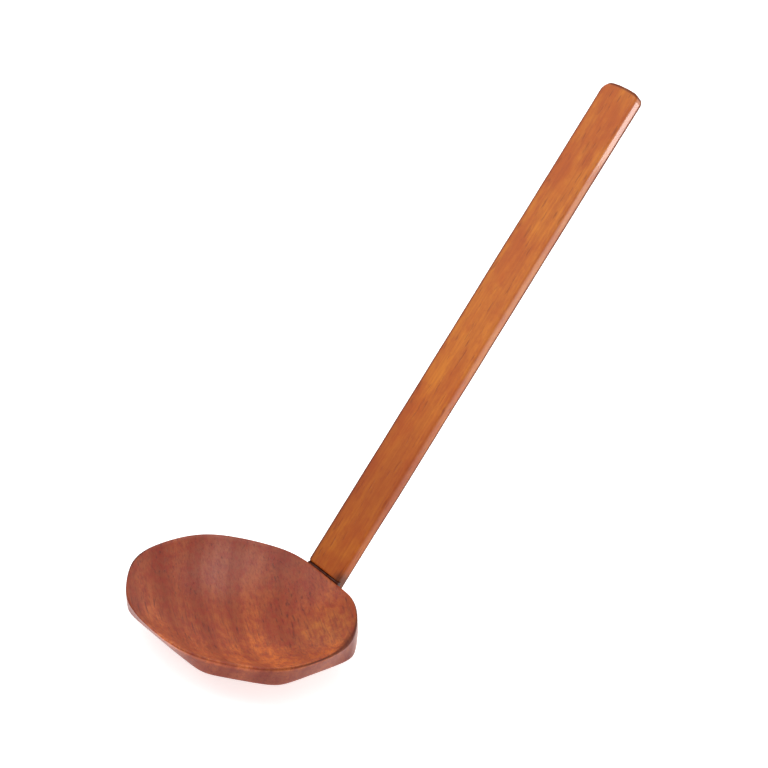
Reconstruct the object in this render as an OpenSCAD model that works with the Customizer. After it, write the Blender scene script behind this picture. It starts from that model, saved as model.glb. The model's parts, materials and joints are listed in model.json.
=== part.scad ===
// Wooden ladle with a round, shallow bowl planed to eight flat sides and a straight flat handle.
// Millimetres, +Z up. The origin is the centre of the flat foot under the bowl.
// The rim is level, and the handle leaves the bowl towards +Y.

/* [Bowl] */
// Diameter of the turned blank at the rim
rim_d = 76; // [75:0.5:77]
// Height of the bowl from foot to rim
bowl_h = 16; // [15:0.5:18]
// Depth of the hollow below the rim
dish_depth = 10; // [8:0.5:10.5]
// Width of the flat lip between the hollow and the outside
lip_w = 0.6; // [0.5:0.1:1]
// Height of the upright facets under the rim
wall_h = 6; // [5:0.5:6.5]
// How far a side facet cuts into the rim at its middle
facet_cut = 0.6; // [0.4:0.1:0.8]
// How far the facet on the -X side of the handle cuts into the rim, where the bowl is planed narrower
shoulder_cut = 1.6; // [0.6:0.1:2]
// How far a side facet leans inwards from the rim to its lower edge
facet_lean = 1.7; // [1:0.1:2.5]
// How far the facet at the tip leans inwards
tip_lean = 5.8; // [4:0.1:6]
// Distance across the flats of the octagonal foot
foot_w = 34; // [30:1:40]

/* [Handle] */
// Length of the handle along its front face
handle_len = 184; // [150:1:210]
// Width where the handle meets the bowl
handle_w = 14.4; // [12:0.2:16]
// Width at the free end
handle_end_w = 13.8; // [11:0.2:16]
// Thickness where the handle meets the bowl
handle_t = 4.4; // [4.2:0.1:4.5]
// Thickness at the free end
handle_end_t = 5; // [4:0.1:6]
// Angle between the handle and the level rim
handle_angle = 60; // [59:0.5:61]
// How far the back of the free end is set back from the front
end_back = 1.2; // [0:0.1:2]
// Corner radius at the free end, on the -X side
end_left_r = 3.6; // [1:0.1:5]
// Corner radius at the free end, on the +X side
end_right_r = 1.8; // [1:0.1:5]

/* [Joint] */
// How far the handle stands to the +X side of the bowl's middle
handle_x = 1; // [0:0.1:1.2]
// Distance of the flat seat for the handle from the bowl's axis
seat_y = 34.6; // [34.4:0.1:34.8]
// Height of the seat, down from the rim
seat_h = 7; // [6.8:0.1:7.2]
// Height of the handle's front edge above the rim
joint_rise = 1.2; // [1.1:0.1:1.4]
// How far the handle's front edge reaches over the rim from its seat
over_reach = 0.2; // [0.1:0.1:0.4]
// Thickness of the glue and lacquer in the joint
seam_t = 0.3; // [0.2:0.05:0.4]
// How far the seam stands out round the end of the handle
seam_bead = 0.25; // [0.1:0.05:0.4]
// Width of the tongue on the handle
tongue_w = 9; // [6:0.5:10]
// Length of the tongue inside the bowl
tongue_len = 2.8; // [2:0.1:3]
// Thickness of the tongue
tongue_t = 1.6; // [1.2:0.1:1.6]
// Depth of the tongue's lower face below the rim
tongue_drop = 4.8; // [4.6:0.1:4.8]

/* [Hidden] */

sides = 8;
side_angle = 360 / sides;
handle_side = 90;
shoulder_side = 135;
tip_side = 270;
big = 200;

rim_r = rim_d / 2;
dish_r = rim_r - lip_w;
dish_sphere_r = (dish_r * dish_r + dish_depth * dish_depth) / (2 * dish_depth);
foot_r = foot_w / 2;

// The handle's end is notched: its front edge reaches over the rim, and below that an upright
// cut meets the seat. That cut is taller than the handle is thick, because the handle slopes.
front_z = bowl_h + joint_rise;
front_y = seat_y - over_reach;
cut_y = seat_y + seam_t;
cut_top = front_z + (cut_y - front_y) * tan(handle_angle);
seat_foot = cut_top - handle_t / cos(handle_angle);
tongue_z = bowl_h - tongue_drop;
handle_tail = 45;

// Distance of a facet from the axis at the rim and at its lower edge, and the height of that edge
function facet_top(angle) =
    angle == handle_side ? seat_y
    : rim_r - (angle == shoulder_side ? shoulder_cut : facet_cut);
function facet_foot(angle) =
    angle == handle_side ? seat_y
    : facet_top(angle) - (angle == tip_side ? tip_lean : facet_lean);
function facet_foot_z(angle) = bowl_h - (angle == handle_side ? seat_h : wall_h);

// Everything outside one upright facet
module upright_cut(angle) {
    drop = bowl_h - facet_foot_z(angle);
    lean = atan((facet_top(angle) - facet_foot(angle)) / drop);
    rotate([0, 0, angle])
        translate([facet_top(angle), 0, bowl_h])
            rotate([0, lean, 0])
                translate([0, -big / 2, -big / 2])
                    cube(big);
}

// Everything below one sloping facet of the underside
module underside_cut(angle) {
    slope = atan(facet_foot_z(angle) / (facet_foot(angle) - foot_r));
    rotate([0, 0, angle])
        translate([foot_r, 0, 0])
            rotate([0, -slope, 0])
                translate([0, -big / 2, -big])
                    cube(big);
}

// The turned blank with its hollow
module blank() {
    rotate_extrude($fn = 128)
        difference() {
            square([rim_r, bowl_h]);
            translate([0, bowl_h - dish_depth + dish_sphere_r])
                circle(r = dish_sphere_r, $fn = 160);
        }
}

module bowl() {
    color("sienna")
        difference() {
            blank();
            for (i = [0 : sides - 1]) {
                upright_cut(i * side_angle);
                underside_cut(i * side_angle);
            }
            // Slot for the handle's tongue
            translate([handle_x - tongue_w / 2, seat_y - tongue_len, tongue_z])
                cube([tongue_w, big, tongue_t]);
        }
}

// Side view of the handle in its own frame: X runs up the front face, Y into the thickness.
// The tail below X = 0 is cut off where the handle meets the bowl.
module handle_side_view() {
    polygon([
        [-handle_tail, 0],
        [handle_len, 0],
        [handle_len - end_back, -handle_end_t],
        [0, -handle_t],
        [-handle_tail, -handle_t]
    ]);
}

// Front view of the handle: X runs up the handle, Y across it
module handle_front_view() {
    w = handle_w / 2;
    e = handle_end_w / 2;
    l = handle_len;
    union() {
        polygon([
            [-handle_tail, -w], [0, -w], [l - end_right_r, -e], [l - end_right_r, e - end_left_r],
            [l - end_left_r, e - end_left_r], [l - end_left_r, e], [0, w], [-handle_tail, w]
        ]);
        translate([l - end_left_r, -e + end_right_r])
            square([end_left_r, 2 * e - end_left_r - end_right_r]);
        translate([l - end_left_r, e - end_left_r])
            circle(r = end_left_r, $fn = 64);
        translate([l - end_right_r, -e + end_right_r])
            circle(r = end_right_r, $fn = 64);
    }
}

// Puts a handle drawn along +X, front face up, into its place on the bowl
module place_handle() {
    translate([handle_x, front_y, front_z])
        rotate([handle_angle, 0, 0])
            rotate([0, 0, 90])
                children();
}

module handle() {
    color("peru")
        union() {
            difference() {
                place_handle()
                    intersection() {
                        translate([0, big / 2, 0])
                            rotate([90, 0, 0])
                                linear_extrude(height = big)
                                    handle_side_view();
                        translate([0, 0, -big / 2])
                            linear_extrude(height = big)
                                handle_front_view();
                    }
                // The notch that meets the bowl
                translate([-big / 2, cut_y - big, front_z - big])
                    cube(big);
            }
            translate([handle_x - tongue_w / 2, seat_y - tongue_len, tongue_z])
                cube([tongue_w, tongue_len + seam_t, tongue_t]);
        }
}

module joint_seam() {
    color("black")
        difference() {
            translate([handle_x - handle_w / 2 - seam_bead, seat_y, seat_foot])
                cube([handle_w + 2 * seam_bead, seam_t, front_z - seat_foot]);
            translate([handle_x - tongue_w / 2, seat_y - big / 2, tongue_z])
                cube([tongue_w, big, tongue_t]);
        }
}

bowl();
handle();
joint_seam();
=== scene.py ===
"""Wooden ladle under clear red-brown lacquer: a planed bowl, a flat handle and their glued joint."""
import json
import math

import bpy
from mathutils import Matrix, Vector

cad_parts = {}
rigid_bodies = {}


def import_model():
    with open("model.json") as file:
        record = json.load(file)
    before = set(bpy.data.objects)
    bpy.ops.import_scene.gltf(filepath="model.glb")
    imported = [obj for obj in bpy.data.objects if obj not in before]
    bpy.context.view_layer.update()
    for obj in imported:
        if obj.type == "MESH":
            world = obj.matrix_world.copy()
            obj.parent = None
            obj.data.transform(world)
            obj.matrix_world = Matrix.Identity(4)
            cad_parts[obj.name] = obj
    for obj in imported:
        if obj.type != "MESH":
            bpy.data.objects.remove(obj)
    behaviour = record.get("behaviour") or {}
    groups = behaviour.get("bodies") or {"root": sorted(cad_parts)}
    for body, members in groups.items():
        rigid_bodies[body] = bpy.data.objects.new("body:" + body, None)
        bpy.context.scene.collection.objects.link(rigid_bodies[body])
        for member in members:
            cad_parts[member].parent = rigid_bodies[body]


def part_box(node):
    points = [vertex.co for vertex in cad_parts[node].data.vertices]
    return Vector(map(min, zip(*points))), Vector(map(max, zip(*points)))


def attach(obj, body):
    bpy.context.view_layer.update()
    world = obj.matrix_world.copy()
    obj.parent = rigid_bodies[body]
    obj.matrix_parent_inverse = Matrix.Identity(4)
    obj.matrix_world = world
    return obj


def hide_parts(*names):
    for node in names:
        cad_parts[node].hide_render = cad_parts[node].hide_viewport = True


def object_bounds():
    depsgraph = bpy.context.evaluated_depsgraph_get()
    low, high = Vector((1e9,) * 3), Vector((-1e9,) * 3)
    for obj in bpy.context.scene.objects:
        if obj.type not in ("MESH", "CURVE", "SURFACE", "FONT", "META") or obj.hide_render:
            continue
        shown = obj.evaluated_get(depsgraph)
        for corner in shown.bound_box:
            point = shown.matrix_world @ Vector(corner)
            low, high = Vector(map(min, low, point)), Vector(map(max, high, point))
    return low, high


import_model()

cad_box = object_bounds()
MM = 0.001

# ---------------------------------------------------------------- sizes, from the frame

bowl_low, bowl_high = (Vector(corner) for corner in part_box("bowl"))
handle_low, handle_high = (Vector(corner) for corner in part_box("handle"))
seam_low, seam_high = (Vector(corner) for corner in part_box("joint_seam"))

SIDES = 8
RIM_Z = bowl_high.z
LIP_W = 0.9 * MM
DISH_DEPTH = 10 * MM
WALL_LOW = RIM_Z - 6 * MM
SEAT_Y = seam_low.y - 0.4 * MM
SEAT_LOW = 9 * MM
FOOT_R = 17 * MM
# Distance of each of the eight sides from the axis at the rim and at the wall's lower edge, in mm,
# going round from +X; the third is the handle's side, and the seventh is the tip
RIM_SIDES = (37.8, 38.0, 37.6, 37.6, 37.5, 37.7, 37.3, 37.0)
LOW_SIDES = (36.7, 38.9, 37.5, 35.8, 35.8, 35.8, 32.0, 36.2)
# The rim is almost round, and the lower edge keeps its eight corners
RIM_CORNER = 10
LOW_CORNER = 26
SEAT_CORNER = 120

# The bowl narrows towards the handle, more slowly on the -X side
NECK_SIDE = math.radians(104)
NECK_DEPTH = 0.081
NECK_REACH_RIGHT = math.radians(62)
NECK_REACH_LEFT = math.radians(95)

# The handle is sawn a little long and wide, because sanding takes some off
HANDLE_ANGLE = math.radians(60)
OVER_REACH = 0.2 * MM
HANDLE_X = (handle_low.x + handle_high.x) / 2 - 0.1 * MM
CUT_Y = seam_high.y
FRONT_Y = seam_low.y - OVER_REACH
FRONT_Z = seam_high.z
FOOT_Z = FRONT_Z - 0.45 * MM
SEAT_FOOT = seam_low.z
HANDLE_LEN = (handle_high.z - FRONT_Z) / math.sin(HANDLE_ANGLE) + 1.0 * MM
HANDLE_W = handle_high.x - handle_low.x + 0.4 * MM
HANDLE_END_W = HANDLE_W - 0.6 * MM
HANDLE_T = 4.4 * MM
HANDLE_END_T = 5 * MM
END_LEFT_R = 3.2 * MM
END_RIGHT_R = 1.8 * MM
END_CROWN = 0.7 * MM
# How far the end falls for each step to -X, and for each step into the handle's thickness
END_SLOPE = 0.12
END_LEAN = 0.28
ARRIS_R = 0.7 * MM

# How finely each piece is shaped
BOWL_SEGMENTS = 384
BOWL_RINGS = 160
HANDLE_VOXEL = 0.4 * MM
SEAM_VOXEL = 0.15 * MM


# ---------------------------------------------------------------- bench tools

def only(piece):
    """Select one piece and nothing else."""
    for other in bpy.context.view_layer.objects:
        other.select_set(False)
    piece.select_set(True)
    bpy.context.view_layer.objects.active = piece


def modify(piece, kind, **settings):
    """Add one modifier to a piece and apply it."""
    only(piece)
    modifier = piece.modifiers.new(kind.lower(), kind)
    for name, value in settings.items():
        setattr(modifier, name, value)
    bpy.ops.object.modifier_apply(modifier=modifier.name)


def cut_away(piece, cutter):
    """Cut the shape of one piece out of another, and throw the cutter away."""
    modify(piece, "BOOLEAN", operation="DIFFERENCE", solver="EXACT", object=cutter)
    bpy.data.objects.remove(cutter, do_unlink=True)


def plane_off(piece, point, normal):
    """Plane away everything on the outer side of a flat cut."""
    only(piece)
    bpy.ops.object.mode_set(mode="EDIT")
    bpy.ops.mesh.select_all(action="SELECT")
    bpy.ops.mesh.bisect(plane_co=point, plane_no=normal, use_fill=True, clear_outer=True)
    bpy.ops.object.mode_set(mode="OBJECT")


def settle(piece, name):
    """Put a piece's place into its mesh and name it."""
    only(piece)
    bpy.ops.object.transform_apply(location=True, rotation=True, scale=True)
    piece.name = name
    piece.data.name = name


def keep_within(piece, box):
    """Press what the sanding left proud back inside the given box."""
    for vertex in piece.data.vertices:
        for axis in range(3):
            vertex.co[axis] = min(max(vertex.co[axis], box[0][axis]), box[1][axis])


def sand(piece, passes, waviness=0.0, wave_size=20 * MM, voxel=None):
    """Round every arris as sandpaper does, then leave the small unevenness of handwork."""
    if voxel:
        modify(piece, "REMESH", mode="VOXEL", voxel_size=voxel, adaptivity=0.0)
    modify(piece, "SMOOTH", factor=0.5, iterations=passes)
    if waviness:
        texture = bpy.data.textures.new("handwork", "CLOUDS")
        texture.noise_scale = wave_size
        texture.noise_depth = 1
        modify(piece, "DISPLACE", texture=texture, texture_coords="LOCAL", strength=waviness, mid_level=0.5)
    only(piece)
    bpy.ops.object.shade_smooth()


# ---------------------------------------------------------------- pieces

def rounded_sides(angle, sides, corner):
    """Radius, at an angle, of an outline whose sides stand at the given distances."""
    total = 0
    for number, distance in enumerate(sides):
        facing = math.cos(angle - number * 2 * math.pi / SIDES)
        total += (max(facing, 0) / distance) ** corner
    return total ** (-1 / corner)


def neck(angle):
    """How much the outline is drawn in towards the handle."""
    turn = (angle - NECK_SIDE + math.pi) % (2 * math.pi) - math.pi
    away = abs(turn) / (NECK_REACH_LEFT if turn > 0 else NECK_REACH_RIGHT)
    return NECK_DEPTH * math.cos(away * math.pi / 2) ** 2 if away < 1 else 0


def seated(radius, angle):
    """The radius, cut back to the flat seat for the handle."""
    facing = max(math.sin(angle), 0) / SEAT_Y
    return (radius ** -SEAT_CORNER + facing ** SEAT_CORNER) ** (-1 / SEAT_CORNER)


def bowl_profile(angle):
    """At an angle: the rim's radius, the lower edge's radius and height, and the foot's radius."""
    drawn_in = 1 - neck(angle)
    rim = seated(rounded_sides(angle, RIM_SIDES, RIM_CORNER) * MM * drawn_in, angle)
    low = seated(rounded_sides(angle, LOW_SIDES, LOW_CORNER) * MM * drawn_in, angle)
    foot = rounded_sides(angle, [FOOT_R] * SIDES, LOW_CORNER)
    low_z = WALL_LOW + (SEAT_LOW - WALL_LOW) * neck(angle) / NECK_DEPTH
    return rim, low, low_z, foot


# Where along the section each stretch ends: dish, lip, wall, underside; the foot is the rest
DISH_END, LIP_END, WALL_END, UNDERSIDE_END = 0.46, 0.49, 0.59, 0.84


def section_point(profile, along):
    """Radius and height of one point of the bowl's section."""
    rim, low, low_z, foot = profile
    dish = rim - LIP_W
    if along < DISH_END:
        share = along / DISH_END
        sphere_r = (dish ** 2 + DISH_DEPTH ** 2) / (2 * DISH_DEPTH)
        rise = sphere_r - math.sqrt(sphere_r ** 2 - (share * dish) ** 2)
        return share * dish, RIM_Z - DISH_DEPTH + rise
    stretches = ((DISH_END, LIP_END, dish, rim, RIM_Z, RIM_Z),
                 (LIP_END, WALL_END, rim, low, RIM_Z, low_z),
                 (WALL_END, UNDERSIDE_END, low, foot, low_z, 0),
                 (UNDERSIDE_END, 1, foot, 0, 0, 0))
    for start, end, first_r, last_r, first_z, last_z in stretches:
        if along <= end:
            share = (along - start) / (end - start)
            return first_r + (last_r - first_r) * share, first_z + (last_z - first_z) * share
    return 0, 0


def make_bowl():
    """Shape a ball into the hollowed bowl with its eight sides, and sand it."""
    bpy.ops.mesh.primitive_uv_sphere_add(segments=BOWL_SEGMENTS, ring_count=BOWL_RINGS, radius=1)
    bowl = bpy.context.active_object
    profiles = {}
    for vertex in bowl.data.vertices:
        angle = math.atan2(vertex.co.y, vertex.co.x)
        turn = round(angle, 5)
        if turn not in profiles:
            profiles[turn] = bowl_profile(angle)
        along = math.acos(max(-1, min(1, vertex.co.z))) / math.pi
        radius, height = section_point(profiles[turn], along)
        vertex.co = (radius * math.cos(angle), radius * math.sin(angle), height)
    settle(bowl, "bowl_piece")
    sand(bowl, 8, waviness=0.25 * MM)
    keep_within(bowl, cad_box)
    return bowl


def make_handle():
    """Saw a bar that is wider at the bowl and thicker at the end, round it, notch its foot, and sand it."""
    tail = 20 * MM
    bpy.ops.mesh.primitive_cube_add(size=1, location=(0, (HANDLE_LEN - tail) / 2, -HANDLE_T / 2),
                                    scale=(HANDLE_W, HANDLE_LEN + tail, HANDLE_T))
    handle = bpy.context.active_object
    settle(handle, "handle_piece")
    for vertex in handle.data.vertices:
        if vertex.co.y > 0:
            vertex.co.x *= HANDLE_END_W / HANDLE_W
            vertex.co.z *= HANDLE_END_T / HANDLE_T
    # The free end slopes down to the -X side, and its back is set back
    plane_off(handle, (HANDLE_END_W / 2, HANDLE_LEN, 0), (-END_SLOPE, 1, -END_LEAN))
    bpy.ops.object.mode_set(mode="EDIT")
    for side, radius in ((-1, END_LEFT_R), (1, END_RIGHT_R)):
        pick_edges(handle, lambda a, b: min(a.y, b.y) > 0 and a.x * side > 0 and b.x * side > 0
                   and abs(a.z - b.z) > MM and abs(a.y - b.y) < 2 * MM)
        bpy.ops.mesh.bevel(offset=radius, segments=8, affect="EDGES")
    pick_edges(handle, lambda a, b: min(a.y, b.y) > 0 and abs(a.z - b.z) < MM
               and abs(a.x - b.x) > 3 * MM)
    bpy.ops.mesh.subdivide(number_cuts=8)
    bpy.ops.object.mode_set(mode="OBJECT")
    for vertex in handle.data.vertices:
        if vertex.co.y > 0:
            vertex.co.y -= END_CROWN * ((vertex.co.x - MM) / (HANDLE_END_W / 2)) ** 2
    bpy.ops.object.mode_set(mode="EDIT")
    pick_edges(handle, lambda a, b: abs(a.z - b.z) < MM)
    bpy.ops.mesh.bevel(offset=ARRIS_R, segments=4, affect="EDGES")
    bpy.ops.object.mode_set(mode="OBJECT")
    turn = Matrix.Rotation(HANDLE_ANGLE, 4, "X")
    handle.matrix_world = Matrix.Translation((HANDLE_X, FRONT_Y, FRONT_Z)) @ turn
    settle(handle, "handle_piece")
    block = 60 * MM
    bpy.ops.mesh.primitive_cube_add(size=block, location=(0, CUT_Y - block / 2, FOOT_Z - block / 2))
    cut_away(handle, bpy.context.active_object)
    sand(handle, 3, waviness=0.3 * MM, wave_size=30 * MM, voxel=HANDLE_VOXEL)
    keep_within(handle, cad_box)
    return handle


def pick_edges(piece, wanted):
    """Select the edges, in edit mode, whose two ends pass a test."""
    bpy.ops.mesh.select_mode(type="EDGE")
    bpy.ops.mesh.select_all(action="DESELECT")
    bpy.ops.object.mode_set(mode="OBJECT")
    mesh = piece.data
    for edge in mesh.edges:
        a, b = (mesh.vertices[i].co for i in edge.vertices)
        edge.select = bool(wanted(a, b))
    bpy.ops.object.mode_set(mode="EDIT")


def make_seam():
    """Lay a lumpy bead of glue and lacquer in the joint, thicker on the +X side; its near-black colour and
    thick +X end are painted shade for the gap between handle and rim.
    """
    low_y, high_y = SEAT_Y - 0.3 * MM, CUT_Y + 0.2 * MM
    low_z, high_z = SEAT_FOOT - 0.2 * MM, FOOT_Z - 0.05 * MM
    low_x, high_x = seam_low.x + 0.2 * MM, seam_high.x + 0.1 * MM
    bpy.ops.mesh.primitive_cube_add(
        size=1, location=((low_x + high_x) / 2, (low_y + high_y) / 2, (low_z + high_z) / 2),
        scale=(high_x - low_x, high_y - low_y, high_z - low_z))
    seam = bpy.context.active_object
    settle(seam, "joint_seam_piece")
    for vertex in seam.data.vertices:
        if vertex.co.x < HANDLE_X and vertex.co.z > RIM_Z:
            vertex.co.z = RIM_Z + 0.2 * MM
    sand(seam, 4, waviness=0.4 * MM, wave_size=3 * MM, voxel=SEAM_VOXEL)
    return seam


# ---------------------------------------------------------------- material tools

def srgb(red, green, blue):
    """A colour given as 0-255 sRGB, as linear RGBA."""
    def linear(value):
        value /= 255
        return value / 12.92 if value <= 0.04045 else ((value + 0.055) / 1.055) ** 2.4
    return (linear(red), linear(green), linear(blue), 1.0)


class Value:
    """A socket that carries a number, with arithmetic that adds Math nodes."""

    def __init__(self, finish, socket):
        self.finish = finish
        self.socket = socket

    def math(self, operation, *others):
        inputs = dict(enumerate((self, *others)))
        return self.finish.node("ShaderNodeMath", {"operation": operation}, inputs).value()

    def reflected(self, operation, other):
        return self.finish.node("ShaderNodeMath", {"operation": operation}, {0: other, 1: self}).value()

    def __add__(self, other): return self.math("ADD", other)
    def __radd__(self, other): return self.math("ADD", other)
    def __sub__(self, other): return self.math("SUBTRACT", other)
    def __rsub__(self, other): return self.reflected("SUBTRACT", other)
    def __mul__(self, other): return self.math("MULTIPLY", other)
    def __rmul__(self, other): return self.math("MULTIPLY", other)

    def ramp(self, low, high):
        """0 at low, 1 at high, and smooth between."""
        settings = {"interpolation_type": "SMOOTHSTEP", "clamp": True}
        inputs = {"Value": self, "From Min": low, "From Max": high}
        return self.finish.node("ShaderNodeMapRange", settings, inputs).value()


class Node:
    """A node, and its outputs by name or number."""

    def __init__(self, finish, node):
        self.finish = finish
        self.node = node

    def out(self, key=0):
        return self.node.outputs[key]

    def value(self, key=0):
        return Value(self.finish, self.out(key))


class Finish:
    """A material and the node tree that paints it."""

    def __init__(self, name, **constants):
        self.material = bpy.data.materials.new(name)
        self.material.use_nodes = True
        self.tree = self.material.node_tree
        self.tree.nodes.clear()
        self.shader = self.node("ShaderNodeBsdfPrincipled", {}, constants)
        self.node("ShaderNodeOutputMaterial", {}, {"Surface": self.shader.out()})

    def node(self, kind, settings=None, inputs=None):
        made = self.tree.nodes.new(kind)
        for name, value in (settings or {}).items():
            setattr(made, name, value)
        for key, value in (inputs or {}).items():
            self.feed(made.inputs[key], value)
        return Node(self, made)

    def feed(self, socket, value):
        if isinstance(value, Value):
            value = value.socket
        if isinstance(value, bpy.types.NodeSocket):
            self.tree.links.new(value, socket)
        else:
            socket.default_value = value

    def paint(self, **inputs):
        for name, value in inputs.items():
            self.feed(self.shader.node.inputs[name.replace("_", " ")], value)

    def place(self, location=(0, 0, 0), rotation=(0, 0, 0)):
        """Object coordinates, moved and turned."""
        coords = self.node("ShaderNodeTexCoord").out("Object")
        inputs = {"Vector": coords, "Location": location, "Rotation": rotation}
        return self.node("ShaderNodeMapping", {"vector_type": "POINT"}, inputs).out()

    def stretch(self, vector, scale):
        settings = {"operation": "MULTIPLY"}
        return self.node("ShaderNodeVectorMath", settings, {0: vector, 1: scale}).out()

    def noise(self, vector, scale, detail, roughness=0.5):
        inputs = {"Vector": vector, "Scale": scale, "Detail": detail, "Roughness": roughness}
        return self.node("ShaderNodeTexNoise", {"noise_dimensions": "3D"}, inputs).value("Fac")

    def split(self, vector):
        parts = self.node("ShaderNodeSeparateXYZ", {}, {0: vector})
        return parts.value("X"), parts.value("Y"), parts.value("Z")

    def mix(self, factor, first, second):
        settings = {"data_type": "RGBA", "blend_type": "MIX", "clamp_factor": True}
        return self.node("ShaderNodeMix", settings, {0: factor, 6: first, 7: second}).out(2)

    def bump(self, height, distance):
        return self.node("ShaderNodeBump", {}, {"Height": height, "Distance": distance}).out()


def distance(*offsets):
    """Distance of the surface from a point or a line, from its offsets along the axes."""
    return sum(offset * offset for offset in offsets).math("SQRT")


def rings(layer, spacing, sway):
    """Light and dark rings across the layers of the wood, which sway with its growth."""
    return (layer * (2 * math.pi / spacing) + sway).math("SINE") * 0.5 + 0.5


# ---------------------------------------------------------------- finishes

def bowl_finish():
    """Close-grained wood across the bowl, under glossy red-brown lacquer."""
    look = Finish("bowl_wood", **{"IOR": 1.45, "Specular IOR Level": 0.25, "Coat Roughness": 0.28})
    dish_r = RIM_SIDES[0] * MM - LIP_W
    sphere_r = (dish_r ** 2 + DISH_DEPTH ** 2) / (2 * DISH_DEPTH)
    x, y, below = look.split(look.place(location=(0, 0, -RIM_Z)))
    out = distance(x, y, below + DISH_DEPTH - sphere_r) - sphere_r
    outside = out.ramp(0.8 * MM, 1.6 * MM)
    lip = below.ramp(-0.9 * MM, -0.45 * MM) * out.ramp(0.02 * MM, 0.34 * MM)
    # Painted light: the near side of the hollow is made lighter, and the dark line on its lip fainter
    wear_and_painted_light = (y * 0.95 - x * 0.3).ramp(-10 * MM, -28 * MM)

    grain = look.place(rotation=(0, math.radians(5), math.radians(31)))
    along, across, up = look.split(grain)
    drift = look.noise(look.stretch(grain, (9, 26, 26)), 1.0, 2.0, 0.5)
    layer = distance(across - 90 * MM, up + 30 * MM)
    wide = rings(layer, 12.5 * MM, drift * 7.0)
    fine = rings(layer, 3.3 * MM, drift * 22.0)
    band = wide.math("POWER", 1.3) * 0.75 + fine * 0.25
    cloud = look.noise(look.stretch(grain, (45, 70, 70)), 1.0, 4.0, 0.65)
    mottle = look.noise(look.stretch(grain, (260, 420, 420)), 1.0, 4.0, 0.7)
    fibre = look.noise(look.stretch(grain, (110, 1500, 1500)), 1.0, 3.0, 0.6)
    pore_field = look.noise(look.stretch(grain, (190, 1500, 1500)), 1.0, 1.0, 0.4)
    pore_patch = look.noise(look.stretch(grain, (50, 80, 80)), 1.0, 1.0)
    pore = pore_field.ramp(0.6, 0.74) * pore_patch.ramp(0.36, 0.6)
    # Redder and darker towards the -X side of the hollow, and more orange towards the other
    side = (x - y * 0.4).ramp(-30 * MM, 26 * MM)
    olive = distance(x - 22 * MM, y - 18 * MM)
    warm = look.mix(side, srgb(166, 82, 44), srgb(216, 111, 34))
    yellowed = look.mix(olive.ramp(15 * MM, 3 * MM) * 0.4, warm, srgb(176, 118, 44))
    # The lacquer lies thicker and redder in the bottom of the hollow
    pool = distance(x + 9 * MM, y + 8 * MM)
    near_side_lit = look.mix(wear_and_painted_light * 0.5, yellowed, srgb(216, 118, 62))
    pooled = look.mix(pool.ramp(21 * MM, 6 * MM) * 0.27, near_side_lit, srgb(112, 38, 26))
    clouded = look.mix(cloud.ramp(0.4, 0.68) * 0.6, pooled, srgb(140, 56, 34))
    banded = look.mix(band * 0.55, clouded, srgb(118, 48, 35))
    mottled = look.mix(mottle.ramp(0.36, 0.68) * 0.65, banded, srgb(146, 42, 25))
    streaked = look.mix(fibre.ramp(0.45, 0.7) * 0.45, mottled, srgb(112, 42, 28))
    porous = look.mix(pore * 0.45, streaked, srgb(70, 26, 20))
    # Painted shade: the outer walls below the lip are darkened
    shaded_walls = look.mix(outside * 0.6, porous, srgb(104, 38, 30))
    edged = look.mix(lip * (0.75 - wear_and_painted_light * 0.45), shaded_walls, srgb(64, 28, 24))
    dullness = look.noise(look.stretch(grain, (40, 60, 60)), 1.0, 2.0)
    look.paint(Base_Color=edged,
               Coat_Weight=(0.34 - band * 0.18) * (1 - lip * 0.9),
               Roughness=dullness * 0.15 + 0.35 + lip * 0.3,
               Normal=look.bump(fibre * 0.4 - pore + mottle * 0.5, 0.05 * MM))
    return look.material


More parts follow.
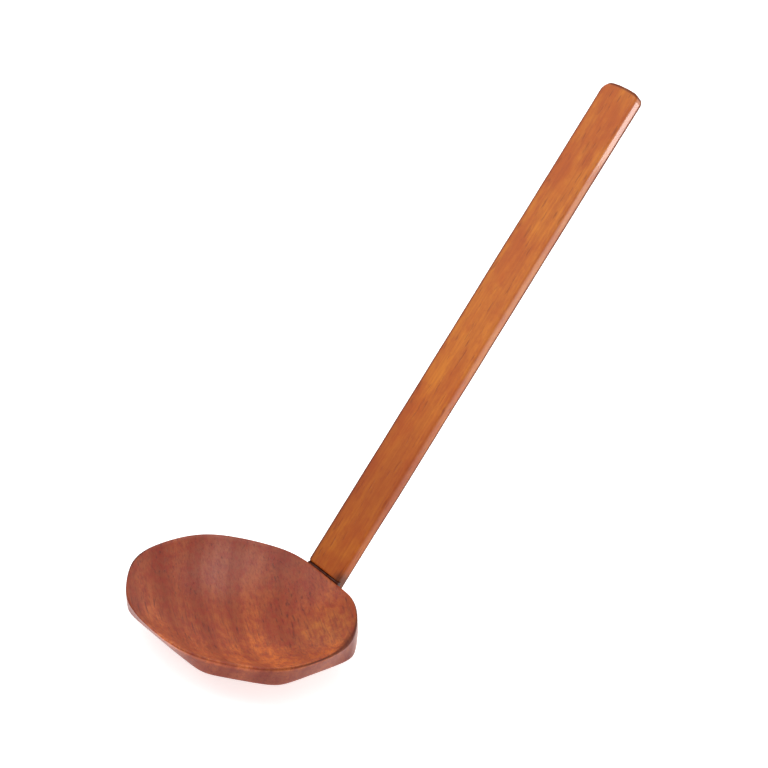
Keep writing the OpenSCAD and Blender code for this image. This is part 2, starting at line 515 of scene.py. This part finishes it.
def handle_finish():
    """Straight-grained wood along the handle, under amber lacquer with dark worn arrises."""
    look = Finish("handle_wood", **{"IOR": 1.45, "Specular IOR Level": 0.25, "Coat Roughness": 0.12})
    local = look.place(rotation=(-HANDLE_ANGLE, 0, 0))
    across, along, up = look.split(local)
    drift = look.noise(look.stretch(local, (70, 7, 70)), 1.0, 3.0, 0.55)
    layer = across + 0.3 * up
    band = rings(layer, 6.2 * MM, drift * 9.0) * 0.65 + rings(layer, 1.4 * MM, drift * 22.0) * 0.35
    fibre = look.noise(look.stretch(local, (1500, 60, 1500)), 1.0, 3.0, 0.6)
    fleck_field = look.noise(look.stretch(local, (1300, 190, 1300)), 1.0, 1.0, 0.4)
    fleck = fleck_field.ramp(0.62, 0.74)
    blotch = look.noise(look.stretch(local, (110, 55, 110)), 1.0, 4.0, 0.65)
    mottle = look.noise(look.stretch(local, (500, 260, 500)), 1.0, 4.0, 0.7)
    # Redder beside the left arris and above the bowl, and worn dark at the end and two arrises
    foot_y = FRONT_Y * math.cos(HANDLE_ANGLE) + FRONT_Z * math.sin(HANDLE_ANGLE)
    face = FRONT_Z * math.cos(HANDLE_ANGLE) - FRONT_Y * math.sin(HANDLE_ANGLE)
    left = (HANDLE_X - across).ramp(HANDLE_W / 2 - 2.6 * MM, HANDLE_W / 2)
    height = along - foot_y + drift * 10 * MM
    by_bowl = height.ramp(82 * MM, 38 * MM) - height.ramp(38 * MM, 10 * MM) * 0.7
    from_middle = across - HANDLE_X
    left_arris = distance(from_middle + HANDLE_W / 2, up - face)
    back_arris = distance(from_middle - HANDLE_W / 2, up - face + HANDLE_T)
    polish = (along - foot_y).ramp(20 * MM, 120 * MM)
    end = along - foot_y - (from_middle - HANDLE_W / 2) * END_SLOPE - (up - face) * END_LEAN
    off_crown = from_middle - MM
    crown = off_crown * off_crown * (END_CROWN / (HANDLE_END_W / 2) ** 2)
    tip = (end + crown).ramp(HANDLE_LEN - 1.3 * MM, HANDLE_LEN - 0.6 * MM)
    corner = distance(from_middle - HANDLE_W / 2, along - foot_y)
    warm = look.mix(blotch.ramp(0.36, 0.66), srgb(207, 121, 34), srgb(186, 91, 25))
    banded = look.mix(band * 0.45, warm, srgb(168, 78, 28))
    streaked = look.mix(fibre.ramp(0.4, 0.75) * 0.3, banded, srgb(150, 66, 26))
    mottled = look.mix(mottle.ramp(0.45, 0.72) * 0.3, streaked, srgb(156, 66, 30))
    flecked = look.mix(fleck * 0.4, mottled, srgb(116, 48, 20))
    edged = look.mix(left * 0.45, flecked, srgb(132, 48, 26))
    reddened = look.mix(by_bowl * 0.5, edged, srgb(140, 54, 30))
    worn = left_arris.math("MINIMUM", back_arris).ramp(1.4 * MM, 0.7 * MM).math("MAXIMUM", tip)
    wear_and_painted_light = look.mix(worn * 0.75, reddened, srgb(88, 36, 26))
    # Painted shade: the handle's lower +X corner, beside the joint, is darkened
    corner_shaded = look.mix(corner.ramp(4.5 * MM, 0.5 * MM) * 0.7, wear_and_painted_light, srgb(64, 28, 20))
    look.paint(Base_Color=corner_shaded,
               Coat_Weight=(polish * 0.7 + 0.1) * (1 - worn),
               Roughness=blotch * 0.14 + 0.3 + worn * 0.3,
               Normal=look.bump(fibre * 0.5 - fleck * 0.8 + mottle * 0.4, 0.05 * MM))
    return look.material


def seam_finish():
    """Hardened glue and lacquer, coloured almost black as painted shade for the joint's gap."""
    look = Finish("dark_lacquer", **{"IOR": 1.45, "Specular IOR Level": 0.3, "Coat Weight": 0.15,
                                     "Coat Roughness": 0.3})
    local = look.place()
    cloud = look.noise(local, 900.0, 2.0)
    look.paint(Base_Color=look.mix(cloud, srgb(50, 20, 14), srgb(84, 36, 22)),
               Roughness=cloud * 0.2 + 0.3,
               Normal=look.bump(cloud, 0.1 * MM))
    return look.material


def floor_finish():
    """Plain white board."""
    look = Finish("white_board", **{"Emission Color": (1, 1, 1, 1), "Emission Strength": 0.68})
    local = look.place()
    shade = look.noise(local, 3.0, 2.0)
    look.paint(Base_Color=look.mix(shade, (0.90, 0.90, 0.90, 1), (0.92, 0.92, 0.92, 1)),
               Roughness=0.8)
    return look.material


def dress(piece, material):
    piece.data.materials.clear()
    piece.data.materials.append(material)


# ---------------------------------------------------------------- stage, light and camera

VIEW_AZIMUTH = math.radians(42)
VIEW_ELEVATION = math.radians(32)
VIEW_ROLL = math.radians(11.9)
VIEW_DISTANCE = 2.0
LENS = 293
AIM = Vector((-0.0045, 0.0504, RIM_Z + 0.0654))


def camera_axes():
    """Right, up and back directions of the camera."""
    sin_a, cos_a = math.sin(VIEW_AZIMUTH), math.cos(VIEW_AZIMUTH)
    sin_e, cos_e = math.sin(VIEW_ELEVATION), math.cos(VIEW_ELEVATION)
    level = Vector((cos_a, sin_a, 0))
    back = Vector((sin_a * cos_e, -cos_a * cos_e, sin_e))
    above = back.cross(level)
    right = level * math.cos(VIEW_ROLL) + above * math.sin(VIEW_ROLL)
    return right, back.cross(right), back


def add_camera():
    right, up, back = camera_axes()
    data = bpy.data.cameras.new("camera")
    data.lens = LENS
    data.sensor_width = 36
    data.clip_end = 50
    camera = bpy.data.objects.new("camera", data)
    bpy.context.scene.collection.objects.link(camera)
    turn = Matrix((right, up, back)).transposed().to_4x4()
    camera.matrix_world = Matrix.Translation(AIM + back * VIEW_DISTANCE) @ turn
    bpy.context.scene.camera = camera


def add_light(name, place, size, power, aim=AIM):
    data = bpy.data.lights.new(name, "AREA")
    data.shape = "RECTANGLE"
    data.size, data.size_y = size
    data.energy = power
    light = bpy.data.objects.new(name, data)
    light.visible_camera = False
    bpy.context.scene.collection.objects.link(light)
    place = Vector(place)
    facing = (place - aim).to_track_quat("Z", "Y").to_matrix().to_4x4()
    light.matrix_world = Matrix.Translation(place) @ facing


def set_stage():
    bpy.ops.mesh.primitive_plane_add(size=12, location=(0, 0, 0))
    floor = bpy.context.active_object
    settle(floor, "floor")
    dress(floor, floor_finish())
    world = bpy.data.worlds.new("studio")
    world.use_nodes = True
    surround = world.node_tree.nodes["Background"].inputs
    surround["Color"].default_value = (1, 1, 1, 1)
    surround["Strength"].default_value = 0.62
    bpy.context.scene.world = world
    add_light("top_softbox", (-0.08, 0.30, 1.12), (0.35, 0.8), 3.1)
    add_light("front_softbox", (-0.45, -0.5, 1.05), (1.1, 1.1), 4.9)
    add_light("end_card", (0.08, 0.5, 0.2), (0.15, 0.15), 0.25, aim=Vector((0, 0.13, 0.175)))
    add_light("side_card", (0.15, 0.28, 0.06), (0.06, 0.05), 0.052, aim=Vector((0, 0.12, 0.16)))
    bpy.context.scene.view_settings.view_transform = "Standard"


# ---------------------------------------------------------------- the ladle

set_stage()
add_camera()
for make, finish, node, slot in (
        (make_bowl, bowl_finish, "bowl", "bowl_wood"),
        (make_handle, handle_finish, "handle", "handle_wood"),
        (make_seam, seam_finish, "joint_seam", "dark_lacquer")):
    piece = make()
    dress(piece, finish())
    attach(piece, "root")
    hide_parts(node)
